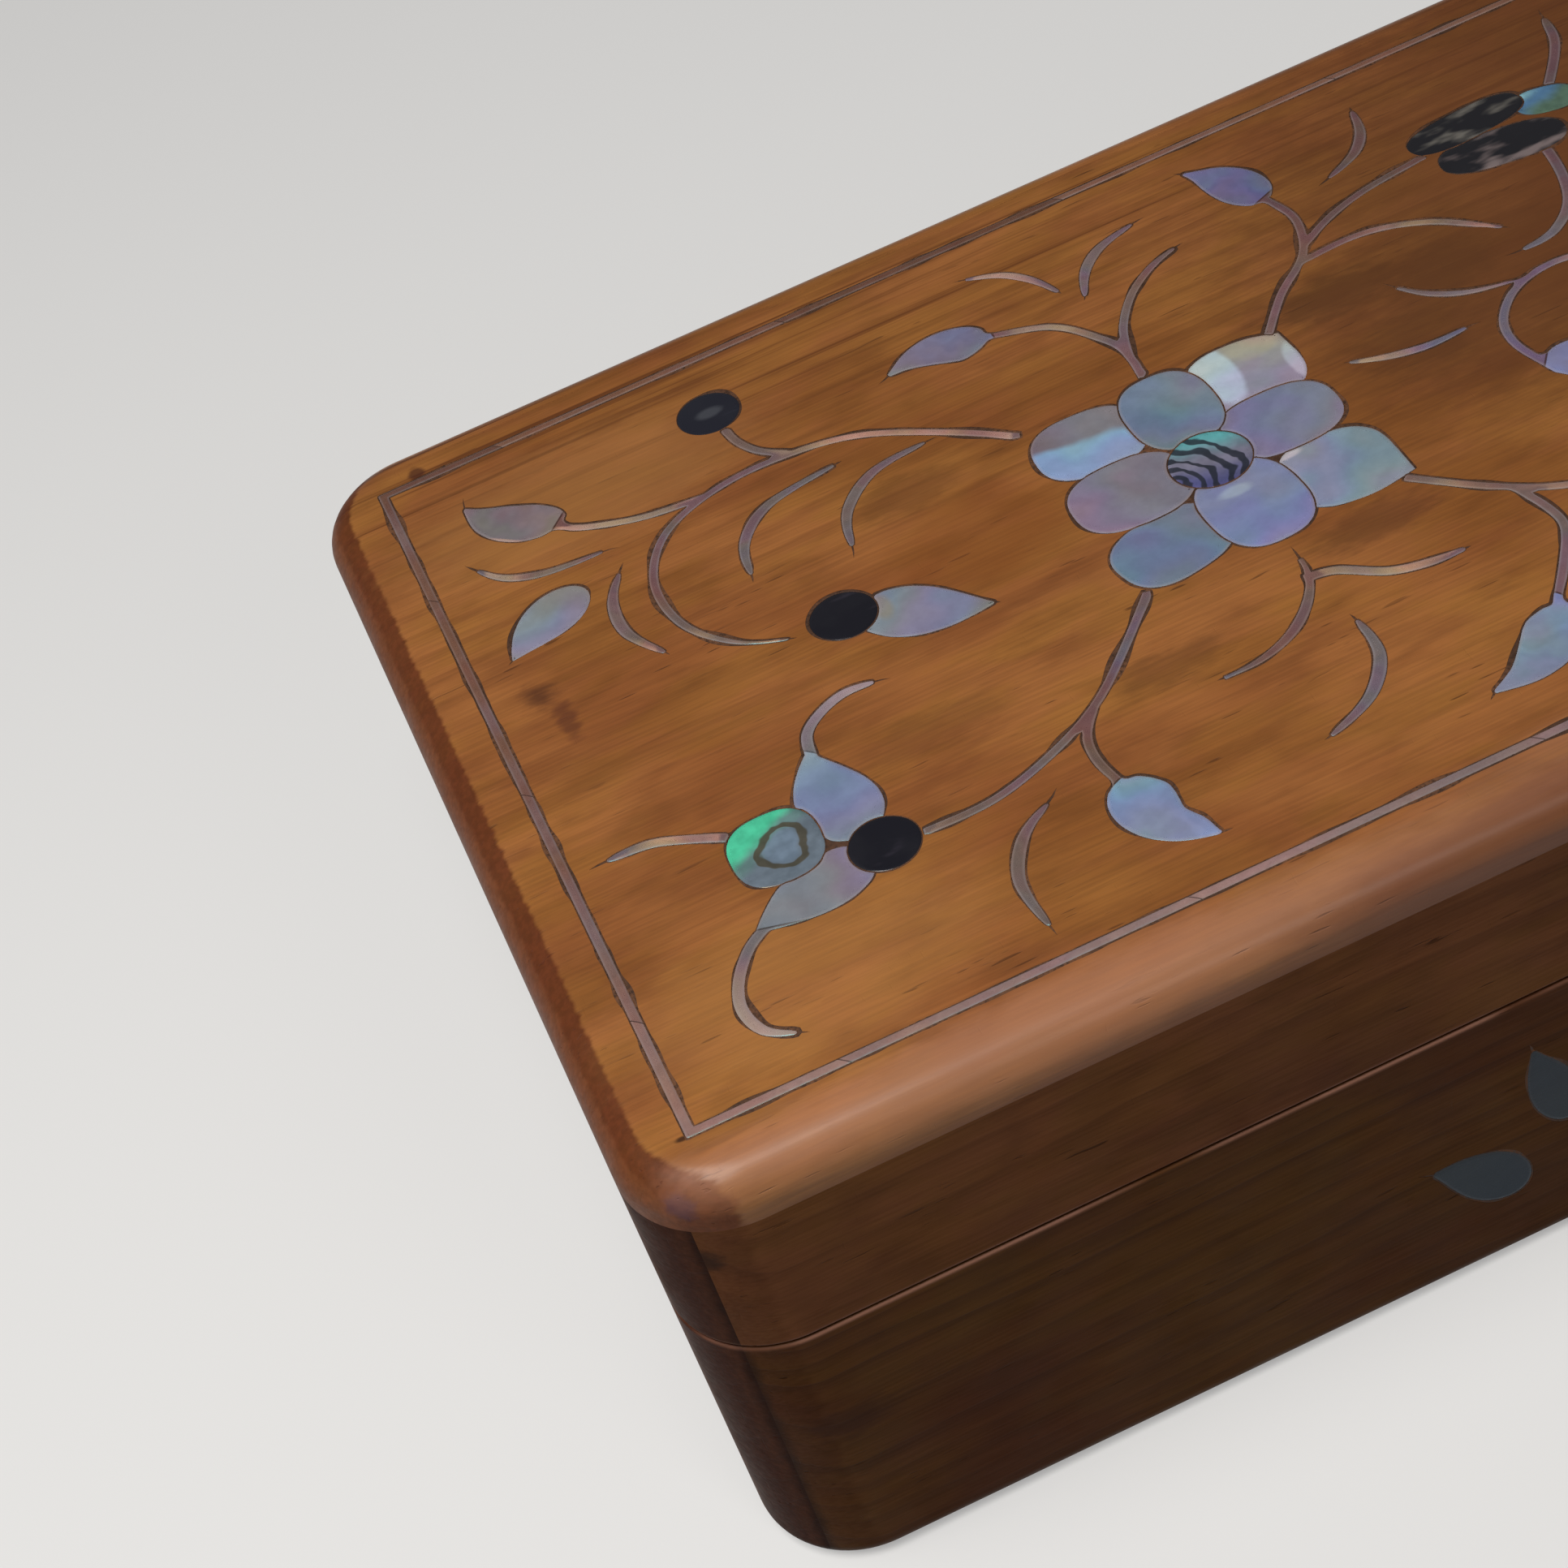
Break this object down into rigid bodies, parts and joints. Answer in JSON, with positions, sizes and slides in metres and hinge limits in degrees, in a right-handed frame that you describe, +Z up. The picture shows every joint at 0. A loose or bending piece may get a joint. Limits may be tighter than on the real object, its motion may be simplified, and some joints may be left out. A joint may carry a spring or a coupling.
{
  "type": "inlaid box",
  "caption": "Small wooden box with rounded edges and a hinged lid, inlaid with a shell flower, curling stems and dark discs.",
  "frame": {"origin": "middle of the flat underside", "axes": "+X along the length, to the right seen from the front; +Y towards the hinges at the rear; +Z up"},
  "size_m": [0.21, 0.15, 0.074],
  "materials": {
    "wood": "varnished, orange-brown, straight grain with darker bands",
    "bottom_wood": "oiled, darker",
    "pearl": "polished mother of pearl, pale lilac to blue-white",
    "abalone": "polished abalone shell, blue-green with dark bands",
    "horn": "polished dark horn",
    "brass": "aged brass"
  },
  "bodies": {
    "box": {"box_bottom_board": "bottom_wood", "box_front_board": "wood", "box_left_board": "wood", "box_rear_board": "wood", "box_right_board": "wood", "hinge_left_box_leaf": "brass", "hinge_left_pin": "brass", "hinge_right_box_leaf": "brass", "hinge_right_pin": "brass", "spray_left_leaf": "pearl", "spray_middle_leaf": "pearl", "spray_right_leaf": "pearl"},
    "lid": {"blossom_left_abalone_petal": "abalone", "blossom_left_front_petal": "pearl", "blossom_left_rear_petal": "pearl", "blossom_right_abalone_petal": "abalone", "blossom_right_front_petal": "horn", "blossom_right_rear_petal": "horn", "bud_left": "pearl", "crescent_front": "pearl", "crescent_front_left": "pearl", "crescent_left": "pearl", "crescent_left_rear": "pearl", "crescent_rear_left": "pearl", "crescent_rear_right": "pearl", "crescent_right": "pearl", "crescent_right_rear": "pearl", "crescent_scroll_inner": "pearl", "crescent_scroll_outer": "pearl", "flower_disc": "abalone", "flower_petal_front": "pearl", "flower_petal_front_left": "pearl", "flower_petal_front_right": "pearl", "flower_petal_left": "pearl", "flower_petal_rear": "pearl", "flower_petal_rear_left": "pearl", "flower_petal_rear_right": "pearl", "flower_petal_right": "pearl", "hinge_left_lid_leaf": "brass", "hinge_right_lid_leaf": "brass", "horn_disc_front_left": "horn", "horn_disc_front_right": "horn", "horn_disc_left": "horn", "horn_disc_rear_left": "horn", "leaf_left": "pearl", "lid_front_rail": "wood", "lid_left_rail": "wood", "lid_rear_rail": "wood", "lid_right_rail": "wood", "lid_top_board": "wood", "sprig_front": "pearl", "stringing": "pearl", "tendril_front_left": "pearl", "tendril_right_front": "pearl", "tendril_right_rear": "pearl", "vine_front_left": "pearl", "vine_front_right": "pearl", "vine_rear": "pearl", "vine_rear_left": "pearl", "vine_rear_right": "pearl"}
  },
  "joints": [
    {"name": "lid_hinge", "type": "hinge", "parent": "box", "child": "lid", "pos_m": [0, 0.0731, 0.045], "axis": [-1, 0, 0], "range_deg": [0, 105]}
  ]
}
